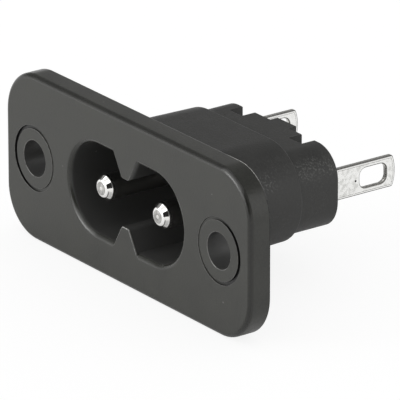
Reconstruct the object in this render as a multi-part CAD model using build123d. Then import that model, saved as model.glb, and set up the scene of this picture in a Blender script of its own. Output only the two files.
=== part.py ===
from build123d import *
import os

# Panel-mount mains inlet with a figure-eight socket and two round pins, all sizes in millimetres.
# The origin is the centre of the flange's back face, +Y runs back through the panel, +Z is up.

# Contact pins
pin_spacing = 8.6
pin_diameter = 2.4
pin_tip_cone = 0.32
pin_tip_length = 0.5
pin_tip_recess = 0.42
collar_rim = 0.5
collar_thickness = 0.7
shank_shoulder = 0.3
rivet_rim = 0.45
rivet_taper = 0.5
rivet_height = 0.55

# Flange and its screw holes
screw_spacing = 28.0
screw_hole_diameter = 3.4
screw_pad_rim = 1.1
pad_groove_width = 0.25
pad_groove_depth = 0.12
flange_end_margin = 4.55
flange_height = 15.9
flange_thickness = 2.3
flange_corner = 4.4
flange_front_round = 0.5
flange_back_chamfer = 0.15

# Socket, with a wedge-shaped key above and below
socket_end_margin = 4.25
socket_height = 8.5
socket_depth = 10.5
socket_lip = 0.5
key_base_width = 3.2
key_tip_width = 1.0
key_height = 1.95
key_tip_round = 0.3

# Shroud round the socket, with a draft towards the back
shroud_side_wall = 1.15
shroud_top_wall = 0.81
shroud_end_wall = 2.15
shroud_draft = 1.2
shroud_edge_round = 0.25

# Terminal block behind the shroud
block_side_step = 0.8
block_top_step = 1.17
block_corner = 2.9
block_length = 4.35
block_edge_chamfer = 0.08
barrier_width = 2.76
barrier_top_step = 0.1
barrier_rise = 1.0
floor_thickness = 2.2
notch_inside = 0.8
notch_outside = 1.06
notch_length = 1.5

# Solder tags
tag_offset = 2.91
tag_height = 3.0
tag_thickness = 0.5
tag_bend_inside = 0.4
tag_reach = 7.5
tag_end_bow = 0.3
tag_corner = 0.25
eye_length = 3.0
eye_height = 1.9
eye_corner = 0.7
eye_end_margin = 1.0

# Fits
collar_clearance = 0.05
shank_clearance = 0.03
pocket_clearance = 0.1

# Sizes that follow from the ones above
collar_diameter = pin_diameter + 2 * collar_rim
shank_diameter = pin_diameter - 2 * shank_shoulder
rivet_diameter = shank_diameter + 2 * rivet_rim
screw_pad_diameter = screw_hole_diameter + 2 * screw_pad_rim
flange_width = screw_spacing + 2 * flange_end_margin
socket_width = pin_spacing + 2 * socket_end_margin
shroud_width = socket_width + 2 * shroud_side_wall
shroud_height = socket_height + 2 * shroud_top_wall
block_width = shroud_width - 2 * block_side_step
block_height = shroud_height - 2 * block_top_step
barrier_height = block_height - 2 * barrier_top_step

# Places that follow from the sizes above
front_level = -flange_thickness
floor_level = front_level + socket_depth
seat_level = floor_level + collar_thickness
pocket_level = floor_level + floor_thickness
foot_level = pocket_level + tag_thickness
shroud_level = floor_level + shroud_end_wall
block_level = shroud_level + block_length
barrier_level = block_level + barrier_rise
tag_end_level = block_level + tag_reach
pin_x = pin_spacing / 2
tag_outer_x = pin_x + tag_offset + tag_thickness / 2


# Sketch plane at a level along Y, drawn in X and -Z and extruded towards the back
def level_plane(level):
    return Plane(origin=(0, level, 0), x_dir=(1, 0, 0), z_dir=(0, 1, 0))


def prism(sketch, start, end):
    return extrude(level_plane(start) * sketch, amount=end - start)


def edges_at(shape, level):
    return shape.edges().filter_by_position(Axis.Y, level - 0.001, level + 0.001)


# Outline of the socket: a long slot less the two keys
def figure_eight():
    top = socket_height / 2
    tip = top - key_height
    slope = (key_base_width - key_tip_width) / 2 / key_height
    half_root = key_base_width / 2 + slope * shroud_top_wall
    half_tip = key_tip_width / 2
    root = top + shroud_top_wall
    corners = [(-half_root, root), (-half_tip, tip), (half_tip, tip), (half_root, root)]
    key = make_face(Polyline(*corners, close=True))
    key = fillet(key.vertices().sort_by(Axis.Y)[:2], key_tip_round)
    return SlotOverall(socket_width, socket_height) - key - mirror(key, about=Plane.XZ)


# True for the rim of the socket's round ends and straight sides, between the keys
def is_lobe_rim(edge):
    middle = edge @ 0.5
    in_socket = abs(middle.X) < socket_width / 2 + 0.01 and abs(middle.Z) < socket_height / 2 + 0.01
    return in_socket and abs(middle.X) > key_base_width / 2 + 0.01


# Space for a tag's foot and the riveted tail, open to the back, with a notch up and down at its mouth
def terminal_pocket():
    half = max(tag_height, rivet_diameter) / 2 + pocket_clearance
    outer = tag_outer_x + pocket_clearance
    pocket = Pos((pin_x + outer) / 2, 0) * Rectangle(outer - pin_x, 2 * half)
    pocket = pocket + Pos(pin_x, 0) * Circle(half)
    notch = Pos(pin_x + (notch_outside - notch_inside) / 2, 0)
    notch = notch * Rectangle(notch_inside + notch_outside, 2 * shroud_height)
    past_end = 2 * barrier_level
    return prism(pocket, pocket_level, past_end) + prism(notch, block_level - notch_length, past_end)


def build_housing():
    flange = prism(RectangleRounded(flange_width, flange_height, flange_corner), front_level, 0)
    flange = fillet(edges_at(flange, front_level), flange_front_round)
    flange = chamfer(edges_at(flange, 0), flange_back_chamfer)

    shroud = level_plane(0) * SlotOverall(shroud_width, shroud_height)
    shroud = extrude(shroud, amount=shroud_level, taper=shroud_draft)
    shroud = fillet(edges_at(shroud, shroud_level), shroud_edge_round)

    block = prism(RectangleRounded(block_width, block_height, block_corner), floor_level, block_level)
    block = chamfer(edges_at(block, block_level), block_edge_chamfer)
    barrier = prism(Rectangle(barrier_width, barrier_height), floor_level, barrier_level)
    barrier = chamfer(edges_at(barrier, barrier_level), block_edge_chamfer)

    pocket = terminal_pocket()
    body = flange + shroud + block + barrier - pocket - mirror(pocket, about=Plane.YZ)
    body = body - prism(figure_eight(), front_level, floor_level)
    body = fillet(edges_at(body, front_level).filter_by(is_lobe_rim), socket_lip)

    collar_hole = Circle(collar_diameter / 2 + collar_clearance)
    shank_hole = Circle(shank_diameter / 2 + shank_clearance)
    for side in (-1, 1):
        at_pin = Pos(side * pin_x, 0)
        body = body - prism(at_pin * collar_hole, floor_level, seat_level)
        body = body - prism(at_pin * shank_hole, floor_level, pocket_level)
        at_screw = Pos(side * screw_spacing / 2, 0)
        body = body - prism(at_screw * Circle(screw_hole_diameter / 2), front_level, 0)
        pad = Circle(screw_pad_diameter / 2)
        groove = at_screw * (Circle(screw_pad_diameter / 2 + pad_groove_width) - pad)
        body = body - prism(groove, front_level, front_level + pad_groove_depth)
    return body


# Right pin, turned about Y: coned tip, shaft, collar on the socket floor, shank and riveted tail
def build_pin():
    tip = front_level + pin_tip_recess
    profile = [
        (0, tip),
        (pin_diameter / 2 - pin_tip_cone, tip),
        (pin_diameter / 2, tip + pin_tip_length),
        (pin_diameter / 2, floor_level),
        (collar_diameter / 2, floor_level),
        (collar_diameter / 2, seat_level),
        (shank_diameter / 2, seat_level),
        (shank_diameter / 2, foot_level),
        (rivet_diameter / 2, foot_level),
        (rivet_diameter / 2, foot_level + rivet_height / 3),
        (rivet_diameter / 2 - rivet_taper, foot_level + rivet_height),
        (0, foot_level + rivet_height),
    ]
    turned = revolve(make_face(Polyline(*profile, close=True)), Axis.Y)
    return Pos(pin_x, 0, 0) * turned


# Flat outline of a tag in Y and Z: straight sides and a bowed end with small corners
def tag_outline():
    half = tag_height / 2
    shoulder = tag_end_level - tag_end_bow
    start = pocket_level - tag_thickness
    sides = Polyline((shoulder, half), (start, half), (start, -half), (shoulder, -half))
    bow = ThreePointArc((shoulder, -half), (tag_end_level, 0), (shoulder, half))
    outline = make_face(sides + bow)
    return fillet(outline.vertices().sort_by(Axis.X)[-2:], tag_corner)


# Right tag: a strip with its foot under the rivet, bent square to run out of the back
def build_tag():
    foot_end_x = pin_x - tag_height / 2
    tag_inner_x = tag_outer_x - tag_thickness
    spare_end = tag_end_level + tag_thickness
    corners = [
        (foot_end_x, pocket_level),
        (tag_outer_x, pocket_level),
        (tag_outer_x, spare_end),
        (tag_inner_x, spare_end),
        (tag_inner_x, foot_level),
        (foot_end_x, foot_level),
    ]
    strip = make_face(Polyline(*corners, close=True))
    outside_bend = strip.vertices().sort_by_distance((tag_outer_x, pocket_level, 0))[0]
    strip = fillet(outside_bend, tag_bend_inside + tag_thickness)
    inside_bend = strip.vertices().sort_by_distance((tag_inner_x, foot_level, 0))[0]
    strip = fillet(inside_bend, tag_bend_inside)
    strip = extrude(strip, amount=tag_height, both=True)

    blade = Plane(origin=(pin_x, 0, 0), x_dir=(0, 1, 0), z_dir=(1, 0, 0))
    tag = strip & extrude(blade * tag_outline(), amount=tag_outer_x, both=True)
    foot_edges = tag.edges().filter_by(Axis.Y)
    foot_edges = foot_edges.filter_by_position(Axis.X, foot_end_x - 0.001, foot_end_x + 0.001)
    tag = fillet(foot_edges, tag_height / 2 - 0.02)

    hole = Pos(pin_x, 0) * Circle(shank_diameter / 2 + shank_clearance)
    hole = prism(hole, pocket_level, foot_level)
    eye_middle = tag_end_level - eye_end_margin - eye_length / 2
    eye = Pos(eye_middle, 0) * RectangleRounded(eye_length, eye_height, eye_corner)
    eye = extrude(blade * eye, amount=2 * tag_outer_x)
    return tag - hole - eye


housing = build_housing()
contact_pin_right = build_pin()
contact_pin_left = mirror(contact_pin_right, about=Plane.YZ)
solder_tag_right = build_tag()
solder_tag_left = mirror(solder_tag_right, about=Plane.YZ)

os.makedirs("parts", exist_ok=True)
export_step(housing, "parts/housing.step")
export_step(contact_pin_left, "parts/contact_pin_left.step")
export_step(contact_pin_right, "parts/contact_pin_right.step")
export_step(solder_tag_left, "parts/solder_tag_left.step")
export_step(solder_tag_right, "parts/solder_tag_right.step")
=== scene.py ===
import math

import bmesh
import bpy
from mathutils import Matrix, Vector


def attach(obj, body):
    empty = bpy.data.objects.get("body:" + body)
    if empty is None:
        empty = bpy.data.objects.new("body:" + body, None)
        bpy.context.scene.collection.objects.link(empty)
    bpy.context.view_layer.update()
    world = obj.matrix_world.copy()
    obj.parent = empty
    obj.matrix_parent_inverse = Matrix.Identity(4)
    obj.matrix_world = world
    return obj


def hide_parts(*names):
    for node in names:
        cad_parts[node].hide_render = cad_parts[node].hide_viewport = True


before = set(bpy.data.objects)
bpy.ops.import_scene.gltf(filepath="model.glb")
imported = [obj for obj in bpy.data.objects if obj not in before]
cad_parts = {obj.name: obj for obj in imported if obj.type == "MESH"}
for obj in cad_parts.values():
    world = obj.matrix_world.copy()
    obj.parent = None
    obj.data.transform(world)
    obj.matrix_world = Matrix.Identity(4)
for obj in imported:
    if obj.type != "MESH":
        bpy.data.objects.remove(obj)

mm = 0.001
scene = bpy.context.scene
scene.view_settings.view_transform = "Standard"
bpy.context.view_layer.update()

# sizes of the part that looks and shapes share, in mm
part = {
    "pinSpacing": 8.6,
    "screwSpacing": 28.0,
    "socketRadius": 4.25,
    "frontLevel": -2.3,      # places along Y, from the flange's back
    "socketFloor": 8.2,
    "flangeHalf": (18.55, 7.95),
    "flangeCorner": 4.4,
}


# small helpers for node trees
def addNode(tree, kind, inputs=None, **settings):
    node = tree.nodes.new(kind)
    for key, value in settings.items():
        setattr(node, key, value)
    for key, value in (inputs or {}).items():
        if isinstance(value, bpy.types.NodeSocket):
            tree.links.new(value, node.inputs[key])
        else:
            node.inputs[key].default_value = value
    return node


def doMath(tree, operation, first, second=0.5, clamp=False):
    node = addNode(tree, "ShaderNodeMath", {0: first, 1: second}, operation=operation, use_clamp=clamp)
    return node.outputs[0]


def plus(tree, first, second):
    return doMath(tree, "ADD", first, second)


def minus(tree, first, second):
    return doMath(tree, "SUBTRACT", first, second)


def times(tree, first, *others):
    for other in others:
        first = doMath(tree, "MULTIPLY", first, other)
    return first


def larger(tree, first, second):
    return doMath(tree, "MAXIMUM", first, second)


def absolute(tree, value):
    return doMath(tree, "ABSOLUTE", value)


def lengthOf(tree, first, second):
    return doMath(tree, "SQRT", plus(tree, times(tree, first, first), times(tree, second, second)))


# rises between two limits with soft ends, or runs between two other levels there
def softStep(tree, value, low, high, toLow=0.0, toHigh=1.0):
    inputs = {"Value": value, "From Min": low, "From Max": high, "To Min": toLow, "To Max": toHigh}
    return addNode(tree, "ShaderNodeMapRange", inputs, interpolation_type="SMOOTHSTEP").outputs[0]


def fadeOut(tree, value, low, high):
    return softStep(tree, value, low, high, 1.0, 0.0)


def mixColour(tree, factor, first, second):
    return addNode(tree, "ShaderNodeMix", {0: factor, 6: first, 7: second}, data_type="RGBA").outputs[2]


def mixValue(tree, factor, first, second):
    return addNode(tree, "ShaderNodeMix", {0: factor, 2: first, 3: second}, data_type="FLOAT").outputs[0]


# tones laid over one another, each where its mask is
def layered(tree, colour, layers):
    for mask, tone in layers:
        colour = mixColour(tree, mask, colour, tone)
    return colour


def rgb(colour, gain=1.0):
    return (colour[0] * gain, colour[1] * gain, colour[2] * gain, 1.0)


def scaled(tree, vector, factors):
    return addNode(tree, "ShaderNodeVectorMath", {0: vector, 1: factors}, operation="MULTIPLY").outputs[0]


def splitAxes(tree, vector):
    node = addNode(tree, "ShaderNodeSeparateXYZ", {0: vector})
    return node.outputs[0], node.outputs[1], node.outputs[2]


def axesInMm(tree, coords):
    return splitAxes(tree, scaled(tree, coords, (1000.0, 1000.0, 1000.0)))


def normalAxes(tree):
    return splitAxes(tree, addNode(tree, "ShaderNodeNewGeometry").outputs["Normal"])


def noise(tree, vector, scale, detail, roughness=0.5):
    inputs = {"Vector": vector, "Scale": scale, "Detail": detail, "Roughness": roughness}
    return addNode(tree, "ShaderNodeTexNoise", inputs).outputs[0]


# a mark that the faces of the mesh carry
def marked(tree, name):
    return addNode(tree, "ShaderNodeAttribute", attribute_name=name).outputs["Fac"]


def addBump(tree, shader, height, strength, depth):
    bump = addNode(tree, "ShaderNodeBump", {"Height": height, "Strength": strength, "Distance": depth * mm})
    tree.links.new(bump.outputs[0], shader.inputs["Normal"])


def newGroup(name, inputs, outputs):
    group = bpy.data.node_groups.new(name, "ShaderNodeTree")
    for label, value in inputs.items():
        kind = "NodeSocketFloat" if isinstance(value, float) else "NodeSocketVector"
        group.interface.new_socket(name=label, in_out="INPUT", socket_type=kind).default_value = value
    for label in outputs:
        group.interface.new_socket(name=label, in_out="OUTPUT", socket_type="NodeSocketFloat")
    return group, group.nodes.new("NodeGroupInput").outputs, group.nodes.new("NodeGroupOutput").inputs


def placeGroup(tree, group, inputs):
    return addNode(tree, "ShaderNodeGroup", inputs, node_tree=group).outputs


def newMaterial(name):
    material = bpy.data.materials.new(name)
    material.use_nodes = True
    tree = material.node_tree
    tree.nodes.clear()
    output = tree.nodes.new("ShaderNodeOutputMaterial")
    shader = tree.nodes.new("ShaderNodeBsdfPrincipled")
    tree.links.new(shader.outputs[0], output.inputs[0])
    return material, tree, shader, tree.nodes.new("ShaderNodeTexCoord").outputs["Object"]


# scales against the one given, and the slow part's share of the tone
grainParts = {"pits": 1.6, "slow": 0.08, "slowShare": 0.45, "flecks": 1.2}


# spark-eroded mould grain: fine bumps and pits, with a slow unevenness of tone
def makeMouldGrain(parts):
    inputs = {"Vector": (0.0, 0.0, 0.0), "Scale": 4000.0, "Pitting": 0.4}
    group, given, result = newGroup("mouldGrain", inputs, ["Height", "Mottle", "Flecks"])
    vector, scale = given["Vector"], given["Scale"]
    fine = noise(group, vector, scale, 4.0, 0.6)
    cells = addNode(group, "ShaderNodeTexVoronoi", {"Vector": vector, "Scale": times(group, scale, parts["pits"])})
    pits = times(group, cells.outputs["Distance"], given["Pitting"])
    group.links.new(plus(group, fine, pits), result["Height"])
    slow = noise(group, vector, times(group, scale, parts["slow"]), 3.0)
    share = parts["slowShare"]
    tone = plus(group, times(group, slow, share), times(group, fine, 1.0 - share))
    group.links.new(softStep(group, tone, 0.36, 0.64), result["Mottle"])
    flecks = noise(group, vector, times(group, scale, parts["flecks"]), 2.5, 0.65)
    group.links.new(softStep(group, flecks, 0.48, 0.68), result["Flecks"])
    return group


# loose dust: a few specks, one in some cells of a scattered lattice
def makeDustSpecks():
    inputs = {"Vector": (0.0, 0.0, 0.0), "Scale": 700.0, "Share": 0.25, "Size": 0.1}
    group, given, result = newGroup("dustSpecks", inputs, ["Mask"])
    cells = addNode(group, "ShaderNodeTexVoronoi", {"Vector": given["Vector"], "Scale": given["Scale"]})
    chance = addNode(group, "ShaderNodeSeparateColor", {0: cells.outputs["Color"]}).outputs[0]
    chosen = doMath(group, "LESS_THAN", chance, given["Share"])
    spot = fadeOut(group, cells.outputs["Distance"], times(group, given["Size"], 0.5), given["Size"])
    group.links.new(times(group, spot, chosen), result["Mask"])
    return group


# fine drawn or turned lines: noise stretched along one axis by the scale it is given
def makeToolLines():
    inputs = {"Vector": (0.0, 0.0, 0.0), "Stretch": (9000.0, 300.0, 9000.0)}
    group, given, result = newGroup("toolLines", inputs, ["Height", "Streak"])
    lines = noise(group, scaled(group, given["Vector"], given["Stretch"]), 1.0, 3.0, 0.65)
    group.links.new(lines, result["Height"])
    group.links.new(softStep(group, lines, 0.38, 0.66), result["Streak"])
    return group


mouldGrain = makeMouldGrain(grainParts)
dustSpecks = makeDustSpecks()
toolLines = makeToolLines()
print("shared effects made")


# black plastic: what a user would change about its look
plasticLook = {
    "dark": (0.0287, 0.0291, 0.0246),
    "light": (0.0418, 0.0423, 0.0358),
    "roughness": (0.38, 0.50),
    "grainScale": 4200.0,
    "grainDepth": 0.012,              # mm
    "grainStrength": 0.8,
    "grainPitting": 0.5,
    "dust": (0.42, 0.41, 0.39),
    "dustLaid": {"Scale": 620.0, "Share": 0.10, "Size": 0.07},
    "dustStrength": 0.35,
    # the grain runs out on the rounded edges and on the flange's sides
    "roundRoughness": 0.26,
    "roundGrain": 0.3,                # times as deep
    "sideRoughness": 0.30,
    "edgeRoundShade": 0.50,                 # painted shade: how much darker the round of the flange's front edge is
    # the coarser grain behind the flange is paler and duller, with painted sparkle along the flanks
    "rearDark": (0.0330, 0.0330, 0.0312),
    "rearLight": (0.0480, 0.0480, 0.0455),
    "rearRoughness": 0.10,            # as much more
    "rearGrain": 1.25,                # times as deep
    "paintedSparkle": (0.120, 0.120, 0.114),
    "sparkleHeight": (1.9, 3.3),        # mm
    "sparkleFade": (0.4, 0.5),          # mm, at its lower and its upper end
    "sparkleWander": (420.0, 1.6),      # how finely the band wanders, and by how many mm
    "sparklePatches": (0.04, 0.22),     # how strong elsewhere
    "sparkleShroud": (1.15, 0.16),      # how strong on the shroud, by the flange and further back
    # edge breaks, painted: highlight in front and on top at the back, shade, dark and dull, on the back's sides
    "frontEdgeHighlight": (0.21, 0.208, 0.20),
    "paintedEdgeLight": (0.125, 0.124, 0.118),
    "sideEdgeShade": (0.016, 0.016, 0.016),
    "sideEdgeRoughness": 0.9,
    "edgeLightLeast": 0.35,              # where the grain is darkest
    "looksUp": (0.55, 0.80),          # of 1, when an edge counts as looking up
    "looksAside": (0.45, 0.75),       # and, below this, to the side
    "glint": (4.0, 7.0),              # painted glint, times brighter, round the flange's upper corners and on its top
    "glintFrom": (0.72, 0.86),        # of 1, as for looksUp
    "glintTop": (0.86, 0.96),
    # screw holes, painted lighter inside against their shade, and painted shade on the ring round each pad
    "holePaintedLight": (0.058, 0.058, 0.056),
    "ringPaintedShade": (0.006, 0.006, 0.006),
    # socket walls are painted light, paler towards the floor, against the shade deep in the socket
    "paintedLightInSocket": (0.060, 0.060, 0.058),
    "paintedLightDeeper": 1.5,                  # times paler at the floor
    "coreRoughness": 0.50,
    "coreGrain": 0.15,                # times as deep
    # painted highlight on the lower key's edges at the socket's mouth, and painted light on the start of both keys'
    # flanks
    "keyEdgeHighlight": (0.75, 0.75, 0.73),
    "keyFlankLight": (0.30, 0.30, 0.29),
    "litKeyFlank": (0.75, 0.18),          # mm, how far in, on the upper key and the lower
}

# where the masks of the plastic begin and end, in mm
plasticEdges = {
    # along Y
    "frontEdgeHighlight": (-2.1, -1.9), "front": (-1.7, -1.6), "edgeShadeBack": (-0.25, -0.2), "behind": (-0.05, 0.15),
    "shroud": (6.8, 8.2), "block": (10.2, 10.6),
    # from the middle outwards
    "keySide": (1.78, 1.88), "keyTip": (2.1, 2.2), "keyRoot": (4.5, 4.7),
    "flank": (6.2, 7.2), "corner": (11.6, 13.6),
    # along Z, between the two keys
    "below": (-0.5, 0.5),
    # from a screw's axis
    "hole": (1.74, 1.80), "pad": (2.74, 2.79), "ring": (3.30, 3.35),
    # from the flange's outline
    "rimRound": (-0.75, -0.5), "rimSide": (-0.3, -0.2),
}


# how far a place lies outside the flange's outline
def flangeRim(tree, across, up):
    corner = part["flangeCorner"]
    overX, overZ = (minus(tree, place, half - corner) for place, half in zip((across, up), part["flangeHalf"]))
    beyond = lengthOf(tree, larger(tree, overX, 0.0), larger(tree, overZ, 0.0))
    within = doMath(tree, "MINIMUM", larger(tree, overX, overZ), 0.0)
    return minus(tree, plus(tree, beyond, within), corner)


def socketCore(tree, across, y, z):
    past = larger(tree, minus(tree, across, part["pinSpacing"] / 2), 0.0)
    wall, front, floor = part["socketRadius"], part["frontLevel"], part["socketFloor"]
    inside = fadeOut(tree, lengthOf(tree, past, z), wall + 0.01, wall + 0.06)
    deep = times(tree, softStep(tree, y, front + 0.05, front + 0.35), fadeOut(tree, y, floor + 0.3, floor + 0.5))
    return times(tree, inside, deep)


# painted sparkle on the grain: a wandering band along the flanks, and faint patches elsewhere
def sparkleMask(tree, look, coords, across, y, z):
    scale, reach = look["sparkleWander"]
    wander = noise(tree, coords, scale, 3.0)
    level = plus(tree, z, times(tree, minus(tree, wander, 0.5), reach))
    (low, high), (lowFade, highFade) = look["sparkleHeight"], look["sparkleFade"]
    fromBelow = softStep(tree, level, low - lowFade, low + lowFade)
    band = times(tree, fromBelow, fadeOut(tree, level, high - highFade, high + highFade))
    onShroud = softStep(tree, y, *plasticEdges["shroud"], *look["sparkleShroud"])
    onBlock = softStep(tree, y, *plasticEdges["block"])
    band = times(tree, band, softStep(tree, across, *plasticEdges["flank"]), larger(tree, onShroud, onBlock))
    return larger(tree, band, softStep(tree, wander, 0.48, 0.62, *look["sparklePatches"]))


# painted light inside the screw holes, and painted shade on the side of each ring that lies towards the flange's end
def screwMasks(tree, across, y, z):
    front = part["frontLevel"]
    past = minus(tree, across, part["screwSpacing"] / 2)
    fromScrew = lengthOf(tree, past, z)
    hole = fadeOut(tree, fromScrew, *plasticEdges["hole"])
    hole = times(tree, hole, softStep(tree, y, front + 0.05, front + 0.15))
    outward = doMath(tree, "DIVIDE", past, larger(tree, fromScrew, 0.1))
    ring = softStep(tree, fromScrew, *plasticEdges["pad"])
    ring = times(tree, ring, fadeOut(tree, fromScrew, *plasticEdges["ring"]))
    deep = times(tree, softStep(tree, y, front + 0.03, front + 0.08), fadeOut(tree, y, front + 0.4, front + 0.5))
    return hole, times(tree, ring, deep, softStep(tree, outward, -0.6, 0.5))


# the lower key at the socket's mouth, and the start of both keys' flanks, which are painted light
def keyMasks(tree, look, across, up, y, z):
    front = part["frontLevel"]
    onKey = times(tree, fadeOut(tree, across, *plasticEdges["keySide"]), fadeOut(tree, up, *plasticEdges["keyRoot"]))
    onKey = times(tree, onKey, softStep(tree, up, *plasticEdges["keyTip"]))
    below = fadeOut(tree, z, *plasticEdges["below"])
    litTo = mixValue(tree, below, *(front + depth for depth in look["litKeyFlank"]))
    litFlank = times(tree, fadeOut(tree, y, front + 0.05, litTo), softStep(tree, y, front + 0.02, front + 0.06))
    return times(tree, onKey, below), times(tree, litFlank, onKey)


# painted light and shade on the edge breaks: highlight in front, on the lower key and on top at the back, a brighter
# painted glint round the flange's upper corners, shade on the back's sides
def edgeLightAndShade(tree, look, across, y, upness, lowerKey):
    rear = mixColour(tree, softStep(tree, upness, *look["looksUp"]), rgb(look["sideEdgeShade"]), rgb(look["paintedEdgeLight"]))
    cornerGlint, topGlint = (rgb(look["paintedEdgeLight"], gain) for gain in look["glint"])
    glint = mixColour(tree, softStep(tree, upness, *look["glintTop"]), cornerGlint, topGlint)
    onCorner = softStep(tree, across, *plasticEdges["corner"])
    onCorner = times(tree, softStep(tree, upness, *look["glintFrom"]), onCorner)
    rear = mixColour(tree, onCorner, rear, glint)
    ahead = mixColour(tree, lowerKey, rgb(look["frontEdgeHighlight"]), rgb(look["keyEdgeHighlight"]))
    return mixColour(tree, softStep(tree, y, *plasticEdges["frontEdgeHighlight"]), ahead, rear)


def makePlastic(look):
    material, tree, shader, coords = newMaterial("blackMouldedPlastic")
    x, y, z = axesInMm(tree, coords)
    across, up = absolute(tree, x), absolute(tree, z)
    nx, ny, nz = normalAxes(tree)
    upness = doMath(tree, "DIVIDE", nz, larger(tree, lengthOf(tree, nx, nz), 0.01))
    facing = times(tree, ny, ny)
    grainLaid = {"Vector": coords, "Scale": look["grainScale"], "Pitting": look["grainPitting"]}
    grain = placeGroup(tree, mouldGrain, grainLaid)
    dust = placeGroup(tree, dustSpecks, {"Vector": coords, **look["dustLaid"]})

    # rounded edges of the front, found by how far the surface has turned, and of these the flange's own
    turn = times(tree, facing, minus(tree, 1.0, facing), 4.0)
    atFront = fadeOut(tree, y, *plasticEdges["front"])
    turned = times(tree, softStep(tree, turn, 0.02, 0.35), atFront)
    rim = flangeRim(tree, across, up)
    nearRim = times(tree, softStep(tree, rim, *plasticEdges["rimRound"]), atFront)
    edgeRound = doMath(tree, "MULTIPLY", turn, nearRim, clamp=True)

    paintedLightInSocket = socketCore(tree, across, y, z)
    hole, ring = screwMasks(tree, across, y, z)
    lowerKey, litKeyFlank = keyMasks(tree, look, across, up, y, z)
    behind = softStep(tree, y, *plasticEdges["behind"])
    sparkle = times(tree, sparkleMask(tree, look, coords, across, y, z), behind, grain["Flecks"])
    uneven = softStep(tree, grain["Mottle"], 0.0, 0.8, look["edgeLightLeast"], 1.0)
    paintedEdgeLight = times(tree, marked(tree, "paintedEdgeFaces"), uneven)

    plain = mixColour(tree, grain["Mottle"], rgb(look["dark"]), rgb(look["light"]))
    rear = mixColour(tree, grain["Mottle"], rgb(look["rearDark"]), rgb(look["rearLight"]))
    coreFloor = softStep(tree, y, 0.0, part["socketFloor"])
    # the plastic's tones, among them painted light in the screw holes and socket, painted shade on the pad rings and
    # the flange's edge round, and painted sparkle and edge highlights
    colour = layered(tree, plain, [
        (behind, rear),
        (hole, rgb(look["holePaintedLight"])),
        (ring, rgb(look["ringPaintedShade"])),
        (times(tree, edgeRound, look["edgeRoundShade"]), rgb((0, 0, 0))),
        (sparkle, rgb(look["paintedSparkle"])),
        (paintedEdgeLight, edgeLightAndShade(tree, look, across, y, upness, lowerKey)),
        (paintedLightInSocket, mixColour(tree, coreFloor, rgb(look["paintedLightInSocket"]), rgb(look["paintedLightInSocket"], look["paintedLightDeeper"]))),
        (litKeyFlank, rgb(look["keyFlankLight"])),
        (times(tree, dust["Mask"], look["dustStrength"]), rgb(look["dust"])),
    ])
    tree.links.new(colour, shader.inputs["Base Color"])

    rough = softStep(tree, grain["Mottle"], 0.0, 1.0, *look["roughness"])
    rough = plus(tree, rough, times(tree, behind, look["rearRoughness"]))
    onRim = times(tree, fadeOut(tree, facing, 0.05, 0.30), softStep(tree, rim, *plasticEdges["rimSide"]))
    rough = mixValue(tree, onRim, rough, look["sideRoughness"])
    rough = mixValue(tree, turned, rough, look["roundRoughness"])
    rough = mixValue(tree, paintedLightInSocket, rough, look["coreRoughness"])
    onSide = softStep(tree, y, *plasticEdges["edgeShadeBack"])
    onSide = times(tree, fadeOut(tree, upness, *look["looksAside"]), onSide)
    sideEdgeShade = doMath(tree, "MULTIPLY", paintedEdgeLight, onSide, clamp=True)
    rough = mixValue(tree, sideEdgeShade, rough, look["sideEdgeRoughness"])
    tree.links.new(rough, shader.inputs["Roughness"])

    height = grain["Height"]
    for mask, depth in ((paintedLightInSocket, "coreGrain"), (turned, "roundGrain"), (behind, "rearGrain")):
        height = times(tree, height, softStep(tree, mask, 0.0, 1.0, 1.0, look[depth]))
    addBump(tree, shader, height, look["grainStrength"], look["grainDepth"])
    return material


# bright nickel on the turned pins, duller on the flat of the tip
pinLook = {
    "bright": (0.91, 0.90, 0.875),
    "dull": (0.80, 0.79, 0.76),
    "dullShare": 0.6,
    "roughness": (0.05, 0.10),
    "disc": (0.60, 0.595, 0.575),
    "discDark": (0.38, 0.375, 0.36),
    "discRadius": 0.63,               # mm
    "pip": (0.14, 0.20),              # mm, edge of the pip in its middle
    "discRoughness": 0.24,
    # the rim is painted brighter, as a highlight
    "rim": (0.99, 0.985, 0.965),
    "lowerConeShade": (0.62, 0.615, 0.60),      # painted shade on the cone's lower half
    "groove": (0.10, 0.099, 0.096),   # and the tool mark between it and the rim
    # the shaft inside the socket is painted dark, as shade
    "shaft": (0.42, 0.415, 0.40),
    "shaftRoughness": 0.30,
    "ringScale": (26.0, 13.0, 1.0),   # lines a mm, across the tip and along the shaft
    "ringDepth": 0.001,               # mm
    "ringStrength": 0.35,
    "stainScale": 2600.0,
    "stainRoughness": 0.03,           # as much more
    # ends of tip, rim, tool mark and cone along Y, the shaft's start and the top of the cone's painted shade, in mm
    "tipEnd": (-1.80, -1.76), "rimEnd": (-1.74, -1.72), "coneStart": (-1.72, -1.70), "grooveEnd": (-1.67, -1.63),
    "coneEnd": (-1.44, -1.40), "shaftStart": (-1.3, -1.1), "coneShadeTop": (-0.20, 0.10),
}


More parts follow.
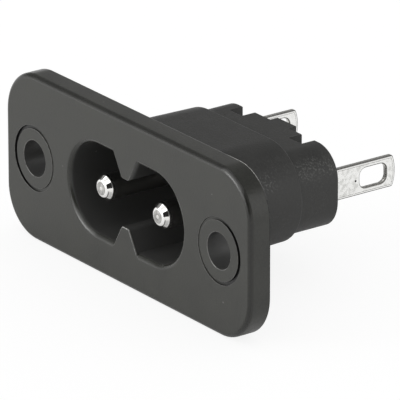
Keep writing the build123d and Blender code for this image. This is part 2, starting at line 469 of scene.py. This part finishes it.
def makePinMetal(look):
    material, tree, shader, coords = newMaterial("brightNickelPlate")
    x, y, z = axesInMm(tree, coords)
    radius = lengthOf(tree, minus(tree, absolute(tree, x), part["pinSpacing"] / 2), z)
    # rings round the pin: distance from its own axis on the ends, place along it on the shaft
    ringVector = addNode(tree, "ShaderNodeCombineXYZ", {0: radius, 1: y, 2: 0.0}).outputs[0]
    rings = placeGroup(tree, toolLines, {"Vector": ringVector, "Stretch": look["ringScale"]})
    stain = softStep(tree, noise(tree, coords, look["stainScale"], 4.0), 0.42, 0.66)

    edge = look["discRadius"]
    onDisc = times(tree, fadeOut(tree, radius, edge - 0.04, edge + 0.02), fadeOut(tree, y, *look["tipEnd"]))
    onDisc = times(tree, onDisc, softStep(tree, radius, *look["pip"]))    # and not on the pip
    onRim = times(tree, softStep(tree, radius, edge - 0.02, edge + 0.04), fadeOut(tree, y, *look["rimEnd"]))
    onCone = times(tree, softStep(tree, y, *look["coneStart"]), fadeOut(tree, y, *look["coneEnd"]))
    # only on its lower half, where the shade is painted
    onCone = times(tree, onCone, fadeOut(tree, z, *look["coneShadeTop"]))
    inGroove = fadeOut(tree, y, *look["grooveEnd"])
    onShaft = softStep(tree, y, *look["shaftStart"])

    colour = layered(tree, rgb(look["bright"]), [
        (times(tree, stain, look["dullShare"]), rgb(look["dull"])),
        (onRim, rgb(look["rim"])),
        (onCone, mixColour(tree, inGroove, rgb(look["lowerConeShade"]), rgb(look["groove"]))),
        (onShaft, rgb(look["shaft"])),
        (onDisc, mixColour(tree, stain, rgb(look["discDark"]), rgb(look["disc"]))),
    ])
    tree.links.new(colour, shader.inputs["Base Color"])

    rough = softStep(tree, rings["Streak"], 0.0, 1.0, *look["roughness"])
    rough = plus(tree, rough, times(tree, stain, look["stainRoughness"]))
    rough = mixValue(tree, onShaft, rough, look["shaftRoughness"])
    tree.links.new(mixValue(tree, onDisc, rough, look["discRoughness"]), shader.inputs["Roughness"])
    addBump(tree, shader, rings["Height"], look["ringStrength"], look["ringDepth"])
    shader.inputs["Metallic"].default_value = 1.0
    return material


# satin tin on the stamped tags, with sheared walls left a little rough and dark
tagLook = {
    "bright": (0.96, 0.96, 0.94),
    "dull": (0.60, 0.60, 0.575),
    "dullShare": 0.65,
    "dullRoughness": 0.06,            # as much more
    "patchScale": 2300.0,
    "borderPatches": 0.1,
    "leftTagPaintedLight": 0.25,              # painted light: fewer dull patches on the left tag, which sits in more shade
    "sheared": (0.46, 0.45, 0.42),
    "shearedRoughness": 0.22,         # as much more
    "shearedDepth": 2.0,              # against the drawn lines
    # painted shade along the rolled edges, darkest where they look down
    "rolledEdgeShade": (0.15, 0.147, 0.14),
    "rolledUnderShade": (0.015, 0.015, 0.014),
    "rolledShadeShare": 0.95,
    # painted shade in the pressed crease
    "creaseShade": (0.10, 0.10, 0.095),
    "speck": (0.16, 0.15, 0.14),
    "specksLaid": {"Scale": 520.0, "Share": 0.10, "Size": 0.06},
    "speckStrength": 0.7,
    "pit": (0.03, 0.03, 0.03),
    "pitPlace": (17.72, -0.08),       # mm along Y and Z
    "pitRadius": 0.12,                # mm
    "roughness": (0.25, 0.37),
    "drawn": (9000.0, 420.0, 11000.0),
    "torn": (700.0, 6000.0, 6000.0),
    "lineDepth": 0.004,               # mm
    "lineStrength": 0.7,
}


def makeTagMetal(look):
    material, tree, shader, coords = newMaterial("satinTinPlate")
    x, y, z = axesInMm(tree, coords)
    normalZ = normalAxes(tree)[2]
    drawn = placeGroup(tree, toolLines, {"Vector": coords, "Stretch": look["drawn"]})
    specks = placeGroup(tree, dustSpecks, {"Vector": coords, **look["specksLaid"]})

    # dull patches spare the bright border
    patches = softStep(tree, noise(tree, coords, look["patchScale"], 5.0, 0.7), 0.44, 0.62)
    patches = times(tree, patches, softStep(tree, marked(tree, "coined"), 0.0, 1.0, 1.0, look["borderPatches"]))
    # fewer on the left tag, as painted light
    patches = times(tree, patches, softStep(tree, x, -1.0, 1.0, look["leftTagPaintedLight"], 1.0))
    # painted shade in the crease, darker among the dull patches
    creased = times(tree, marked(tree, "creaseShade"), softStep(tree, patches, 0.0, 0.5, 0.6, 1.0))
    tear = softStep(tree, noise(tree, scaled(tree, coords, look["torn"]), 1.0, 4.0), 0.3, 0.7, 0.25, 1.0)
    tear = times(tree, marked(tree, "shearedWall"), tear)
    # painted shade on the rolled edges, darkest on those that look down
    under = fadeOut(tree, normalZ, -0.10, -0.01)
    rolledShadeTone = mixColour(tree, under, rgb(look["rolledEdgeShade"]), rgb(look["rolledUnderShade"]))
    placeY, placeZ = look["pitPlace"]
    fromPit = lengthOf(tree, minus(tree, y, placeY), minus(tree, z, placeZ))

    colour = layered(tree, rgb(look["bright"]), [
        (times(tree, patches, look["dullShare"]), rgb(look["dull"])),
        (creased, rgb(look["creaseShade"])),
        (times(tree, marked(tree, "rolledEdge"), look["rolledShadeShare"]), rolledShadeTone),
        (tear, rgb(look["sheared"])),
        (times(tree, specks["Mask"], look["speckStrength"]), rgb(look["speck"])),
        (fadeOut(tree, fromPit, 0.75 * look["pitRadius"], look["pitRadius"]), rgb(look["pit"])),
    ])
    tree.links.new(colour, shader.inputs["Base Color"])

    rough = softStep(tree, drawn["Streak"], 0.0, 1.0, *look["roughness"])
    rough = plus(tree, rough, times(tree, tear, look["shearedRoughness"]))
    rough = plus(tree, rough, times(tree, patches, look["dullRoughness"]))
    tree.links.new(rough, shader.inputs["Roughness"])
    height = plus(tree, drawn["Height"], times(tree, tear, look["shearedDepth"]))
    addBump(tree, shader, height, look["lineStrength"], look["lineDepth"])
    shader.inputs["Metallic"].default_value = 1.0
    return material


plastic = makePlastic(plasticLook)
pinMetal = makePinMetal(pinLook)
tagMetal = makeTagMetal(tagLook)
print("materials made")

weld = 0.0005 * mm
flatWithin = math.radians(0.4)


# a merged copy of a solid, its flat faces whole again
def mergedCopy(node):
    bm = bmesh.new()
    bm.from_mesh(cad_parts[node].data)
    bmesh.ops.remove_doubles(bm, verts=bm.verts, dist=weld)
    bmesh.ops.dissolve_limit(bm, angle_limit=flatWithin, verts=bm.verts, edges=bm.edges)
    return bm


def roundEdges(bm, edges, width, segments, layer):
    made = bmesh.ops.bevel(
        bm, geom=edges, offset=width * mm, offset_type="OFFSET", segments=segments,
        profile=0.5, affect="EDGES", material=-1, clamp_overlap=False, loop_slide=False,
    )
    for face in made["faces"]:
        face[layer] = 1.0


# breaks the outward corners sharper than an angle, and marks the new faces
def breakCorners(bm, shape, layer, leave=()):
    corners = []
    for edge in bm.edges:
        low, high = sorted(vert.co.y / mm for vert in edge.verts)
        onBackEdge = low > -0.2 and high < 0.05    # the flange's back chamfer, which meets its faces at 45 degrees
        limit = math.radians(shape["backAngle"] if onBackEdge else shape["sharpAngle"])
        if edge.calc_face_angle_signed(0.0) > limit and high < shape["upTo"] and edge not in leave:
            corners.append(edge)
    roundEdges(bm, corners, shape["cornerBreak"], shape["segments"], layer)


def makePiece(name, bm, material, nodes, sharpFrom=40):
    mesh = bpy.data.meshes.new(name)
    bm.to_mesh(mesh)
    bm.free()
    for carried in ("custom_normal", "sharp_face", "sharp_edge"):    # the solid's own shading, out of date by now
        if carried in mesh.attributes:
            mesh.attributes.remove(mesh.attributes[carried])
    mesh.shade_smooth()
    mesh.set_sharp_from_angle(angle=math.radians(sharpFrom))
    mesh.materials.append(material)
    piece = bpy.data.objects.new(name, mesh)
    scene.collection.objects.link(piece)
    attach(piece, "root")
    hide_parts(*nodes)
    return piece


# flats keep their own normals beside the small rounded corners
def evenNormals(piece):
    modifier = piece.modifiers.new("evenNormals", "WEIGHTED_NORMAL")
    modifier.keep_sharp = True
    modifier.weight = 100


# sizes in mm, angles in degrees
housingShape = {
    "cornerBreak": 0.06, "segments": 3, "sharpAngle": 55, "backAngle": 40,
    "upTo": 14.75,                    # the barrier has its own chamfer
    "grooveRadii": (2.75, 2.9, 3.1),  # round the screw pads: within, between its walls and outside
    "grooveDepth": (0.06, 0.26),      # at the side of the socket and of the flange's end
    "grooveWiden": 0.12,
    "grooveBreak": 0.025, "grooveSegments": 2,
    "backFrom": -0.3, "backSlant": (0.5, 0.9),    # along Y, and how squarely a rubbed slant looks back
    "sliver": 0.0001,                 # shorter edges are closed up
}


# the groove round each screw pad runs deeper and wider towards the flange's end, and keeps crisper edges
def shapeGrooves(bm, shape):
    screwX, front = part["screwSpacing"] / 2 * mm, part["frontLevel"]
    inner, middle, outer = (radius * mm for radius in shape["grooveRadii"])
    shallow, deep = shape["grooveDepth"]
    mouth = set()
    for vert in bm.verts:
        past = abs(vert.co.x) - screwX
        radius = math.hypot(past, vert.co.z)
        if vert.co.y > (front + 0.2) * mm or not inner < radius < outer:
            continue
        share = 0.5 + 0.5 * past / radius
        if vert.co.y > (front + 0.05) * mm:
            vert.co.y = (front + shallow + (deep - shallow) * share) * mm
        else:
            mouth.add(vert)
        if radius > middle:
            grow = 1.0 + share * shape["grooveWiden"] * mm / radius
            vert.co.x = math.copysign(screwX + past * grow, vert.co.x)
            vert.co.z *= grow
    bm.normal_update()
    return [edge for edge in bm.edges if mouth.issuperset(edge.verts) and edge.calc_face_angle_signed(0.0) > 1.0]


def makeHousing(shape):
    bm = mergedCopy("housing")
    paintedEdgeLight = bm.faces.layers.float.new("paintedEdgeFaces")
    mouths = shapeGrooves(bm, shape)
    breakCorners(bm, shape, paintedEdgeLight, leave=set(mouths))
    roundEdges(bm, mouths, shape["grooveBreak"], shape["grooveSegments"], paintedEdgeLight)
    bmesh.ops.dissolve_degenerate(bm, dist=shape["sliver"] * mm, edges=bm.edges)
    bm.normal_update()
    least, most = shape["backSlant"]
    for face in bm.faces:    # the slanted edges that look back get the painted edge light and shade too
        if least < face.normal.y < most and face.calc_center_median().y > shape["backFrom"] * mm:
            face[paintedEdgeLight] = 1.0
    housing = makePiece("housing_body", bm, plastic, ["housing"])
    evenNormals(housing)
    return housing


# turned pin, from the pip on its tip to the riveted tail: radius and place along Y in mm
pinShape = {
    "tip": [
        (0.0, -1.88), (0.10, -1.876), (0.17, -1.85), (0.60, -1.845), (0.76, -1.815), (0.86, -1.745),
        (0.885, -1.70), (0.90, -1.684), (1.15, -1.416), (1.165, -1.40), (1.195, -1.33), (1.2, -1.25),
    ],
    "collar": [(1.2, 8.17), (1.65, 8.20), (1.70, 8.25), (1.70, 8.88), (0.90, 8.90)],
    "tail": [
        (0.90, 10.90), (1.30, 10.90), (1.35, 10.96), (1.34, 11.08), (1.22, 11.22), (0.98, 11.36),
        (0.70, 11.43), (0.30, 11.45), (0.0, 11.445),
    ],
    "steps": 72,
}


def makePin(shape, side, node):
    bm = bmesh.new()
    axisX = side * part["pinSpacing"] / 2 * mm
    profile = shape["tip"] + shape["collar"] + shape["tail"]
    verts = [bm.verts.new((axisX + radius * mm, place * mm, 0.0)) for radius, place in profile]
    edges = [bm.edges.new(pair) for pair in zip(verts, verts[1:])]
    bmesh.ops.spin(
        bm, geom=verts + edges, cent=(axisX, 0, 0), axis=(0, 1, 0), angle=math.tau,
        steps=shape["steps"], use_merge=True, use_duplicate=False,
    )
    bmesh.ops.remove_doubles(bm, verts=bm.verts, dist=weld)
    bmesh.ops.recalc_face_normals(bm, faces=bm.faces)
    return makePiece(node + "_turned", bm, pinMetal, [node], sharpFrom=50)


# sizes in mm, angles in degrees
tagShape = {
    "cornerBreak": 0.10, "segments": 3, "sharpAngle": 55, "backAngle": 55, "upTo": 23.0,
    "bladeFrom": 11.9,                # along Y, past the bend
    "borderWidth": 0.21, "creaseWidth": 0.036, "creaseDepth": 0.02,
    "outlineFrom": (21.5, 1.2),       # the crease runs only this near the end and the sides, not round the eye
    "sliver": 0.005,                  # shorter edges are closed up
}


# the punch leaves a bright border and presses a fine crease inside it, along the blade's outline
def coinBorder(bm, shape):
    coined = bm.faces.layers.float.new("coined")
    creaseShade = bm.faces.layers.float.new("creaseShade")
    endFrom, sideFrom = (value * mm for value in shape["outlineFrom"])
    bladeFrom = shape["bladeFrom"] * mm
    flats = [face for face in bm.faces if abs(face.normal.x) > 0.99 and face.calc_center_median().y > bladeFrom]
    widths = [shape["borderWidth"], shape["creaseWidth"] / 2, shape["creaseWidth"] / 2]
    border, outer, inner = (
        bmesh.ops.inset_region(
            bm, faces=flats, thickness=width * mm, depth=0.0, use_boundary=True, use_even_offset=True,
        )["faces"]
        for width in widths
    )

    def onOutline(place):
        return abs(place.z) > sideFrom or place.y > endFrom

    for face in border:
        face[coined] = 1.0
    for face in outer + inner:
        face[creaseShade] = float(onOutline(face.calc_center_median()))
    bottom = {vert for face in outer for vert in face.verts} & {vert for face in inner for vert in face.verts}
    bm.normal_update()
    for vert in bottom:
        if onOutline(vert.co):
            vert.co -= vert.normal * shape["creaseDepth"] * mm


def makeTag(shape, node):
    bm = mergedCopy(node)
    bm.normal_update()
    coinBorder(bm, shape)
    walls = bm.faces.layers.float.new("shearedWall")
    bm.normal_update()
    for face in bm.faces:    # a wall looks neither along the blade's thickness nor along the foot's
        onBlade = face.calc_center_median().y > shape["bladeFrom"] * mm
        looks = abs(face.normal.x) if onBlade else max(abs(face.normal.x), abs(face.normal.y))
        face[walls] = 0.0 if looks > 0.9 else 1.0
    breakCorners(bm, shape, bm.faces.layers.float.new("rolledEdge"))
    bmesh.ops.dissolve_degenerate(bm, dist=shape["sliver"] * mm, edges=bm.edges)
    tag = makePiece(node + "_stamped", bm, tagMetal, [node])
    evenNormals(tag)
    return tag


housing = makeHousing(housingShape)
pins = [makePin(pinShape, -1, "contact_pin_left"), makePin(pinShape, 1, "contact_pin_right")]
tags = [makeTag(tagShape, "solder_tag_left"), makeTag(tagShape, "solder_tag_right")]
print("pieces made:", [(piece.name, len(piece.data.polygons)) for piece in [housing] + pins + tags])


# studio: white table, a soft lamp and a pale surround
studio = {
    "floorLevel": -7.95,              # mm
    "floorSize": 3.0,                 # m
    "floorSeen": (0.86, 0.21),        # glow and lit white of the table as the camera sees it
    "floorMirrored": (0.12, 1.18),    # the same as polished faces mirror it
    "floorBounce": 0.55,              # how much of its light the table throws back on the object
    "surround": (0.64, 0.70),         # light from all round on the object, and from straight ahead
    "mirroredHigh": 0.27,             # what polished faces see above the table, against 1 at its height
    "mirroredRise": (0.02, 0.30),     # between which heights
    # parts of what they see: azimuth from the front towards the right, half width, lower and upper end, level
    "mirroredParts": [
        (-16.0, 0.52, 0.60, 0.95, 1.0),      # white above the front
        (-15.0, 0.52, -0.05, 0.72, 2.4),     # bright ahead on the left
        (130.0, 0.50, -0.10, 0.64, 1.25),    # white behind on the right
        (35.0, 0.36, -0.05, 0.58, 0.02),     # the dark by the camera
    ],
    "partFade": 0.03,                 # their soft edges
    "softbox": {"place": (-0.376, -0.688, 0.136), "size": (0.30, 0.30), "level": 0.22},    # m
    "lampAim": (0.0, 6.0, 0.0),       # mm
}


# white that is part glow and part lit, so a shadow shows only so far
def glowingFloor(tree, shares):
    lit = addNode(tree, "ShaderNodeBsdfDiffuse", {"Color": rgb((1, 1, 1), shares[1])})
    glow = addNode(tree, "ShaderNodeEmission", {"Color": rgb((1, 1, 1)), "Strength": shares[0]})
    return addNode(tree, "ShaderNodeAddShader", {0: lit.outputs[0], 1: glow.outputs[0]}).outputs[0]


# whether the camera sees it, or a polished or clear face does
def seenBy(tree):
    paths = tree.nodes.new("ShaderNodeLightPath").outputs
    return paths["Is Camera Ray"], larger(tree, paths["Is Glossy Ray"], paths["Is Transmission Ray"])


def mixShader(tree, factor, first, second):
    return addNode(tree, "ShaderNodeMixShader", {0: factor, 1: first, 2: second}).outputs[0]


def makeFloor(shape):
    bm = bmesh.new()
    bmesh.ops.create_grid(bm, x_segments=1, y_segments=1, size=shape["floorSize"] / 2)
    bmesh.ops.translate(bm, verts=bm.verts, vec=(0, 0, shape["floorLevel"] * mm))
    mesh = bpy.data.meshes.new("white_table")
    bm.to_mesh(mesh)
    bm.free()
    floor = bpy.data.objects.new("white_table", mesh)
    scene.collection.objects.link(floor)
    material = bpy.data.materials.new("whiteTable")
    material.use_nodes = True
    tree = material.node_tree
    tree.nodes.clear()
    byCamera, mirrored = seenBy(tree)
    plain = addNode(tree, "ShaderNodeBsdfDiffuse", {"Color": rgb((1, 1, 1), shape["floorBounce"])}).outputs[0]
    other = mixShader(tree, mirrored, plain, glowingFloor(tree, shape["floorMirrored"]))
    either = mixShader(tree, byCamera, other, glowingFloor(tree, shape["floorSeen"]))
    under = addNode(tree, "ShaderNodeNewGeometry").outputs["Backfacing"]
    clear = tree.nodes.new("ShaderNodeBsdfTransparent").outputs[0]
    output = tree.nodes.new("ShaderNodeOutputMaterial")
    tree.links.new(mixShader(tree, under, either, clear), output.inputs[0])
    mesh.materials.append(material)


# a soft-edged part of the surround
def skyPart(tree, way, soft, azimuth, half, low, high):
    x, y, z = way
    along, side = math.cos(math.radians(azimuth)), math.sin(math.radians(azimuth))
    ahead = minus(tree, times(tree, x, side), times(tree, y, along))
    aside = plus(tree, times(tree, x, along), times(tree, y, side))
    inWidth = fadeOut(tree, absolute(tree, aside), half - soft, half + soft)
    inHeight = times(tree, softStep(tree, z, low - soft, low + soft), fadeOut(tree, z, high - soft, high + soft))
    return times(tree, inWidth, inHeight, doMath(tree, "GREATER_THAN", ahead, 0.0))


def whiteSky(tree, strength):
    return addNode(tree, "ShaderNodeBackground", {"Color": rgb((1, 1, 1)), "Strength": strength}).outputs[0]


def makeSurround(shape):
    world = bpy.data.worlds.new("paleSurround")
    scene.world = world
    world.use_nodes = True
    tree = world.node_tree
    tree.nodes.clear()
    byCamera, mirrored = seenBy(tree)
    way = splitAxes(tree, tree.nodes.new("ShaderNodeTexCoord").outputs["Generated"])
    shown = softStep(tree, way[2], *shape["mirroredRise"], 1.0, shape["mirroredHigh"])
    for *place, level in shape["mirroredParts"]:
        shown = mixValue(tree, skyPart(tree, way, shape["partFade"], *place), shown, level)
    around = softStep(tree, times(tree, way[1], -1.0), 0.1, 1.0, *shape["surround"])
    lit = mixShader(tree, mirrored, whiteSky(tree, around), whiteSky(tree, shown))
    output = tree.nodes.new("ShaderNodeOutputWorld")
    tree.links.new(mixShader(tree, byCamera, lit, whiteSky(tree, 1.0)), output.inputs[0])


def aimed(place, way):
    return Matrix.Translation(place) @ way.to_track_quat("-Z", "Y").to_matrix().to_4x4()


# the lamp's power follows from how brightly a white card at the object should show
def makeLamp(name, lamp, aim):
    data = bpy.data.lights.new(name, "AREA")
    data.shape = "RECTANGLE"
    data.size, data.size_y = lamp["size"]
    place, aim = Vector(lamp["place"]), Vector(aim) * mm
    data.energy = lamp["level"] * math.pi ** 2 * (place - aim).length_squared
    light = bpy.data.objects.new(name, data)
    light.matrix_world = aimed(place, aim - place)
    scene.collection.objects.link(light)


# camera at the photograph's angle; the picture is 400 by 400
view = {
    "azimuth": 53.771,                # degrees from the front towards the right
    "elevation": 21.152,
    "distance": 550.0,                # mm
    "aim": (3.831, 3.135, 0.314),     # mm
    "lens": 559.05,
    "sensor": 36.0,
}


def makeCamera(shape):
    azimuth, elevation = math.radians(shape["azimuth"]), math.radians(shape["elevation"])
    flat = math.cos(elevation)
    back = Vector((math.sin(azimuth) * flat, -math.cos(azimuth) * flat, math.sin(elevation)))
    data = bpy.data.cameras.new("photoCamera")
    data.sensor_fit = "HORIZONTAL"
    data.sensor_width = shape["sensor"]
    data.lens = shape["lens"]
    data.clip_start = 0.01
    camera = bpy.data.objects.new("photoCamera", data)
    camera.matrix_world = aimed((Vector(shape["aim"]) + back * shape["distance"]) * mm, -back)
    scene.collection.objects.link(camera)
    scene.camera = camera


makeFloor(studio)
makeSurround(studio)
makeLamp("softbox", studio["softbox"], studio["lampAim"])
makeCamera(view)
print("studio and camera made")
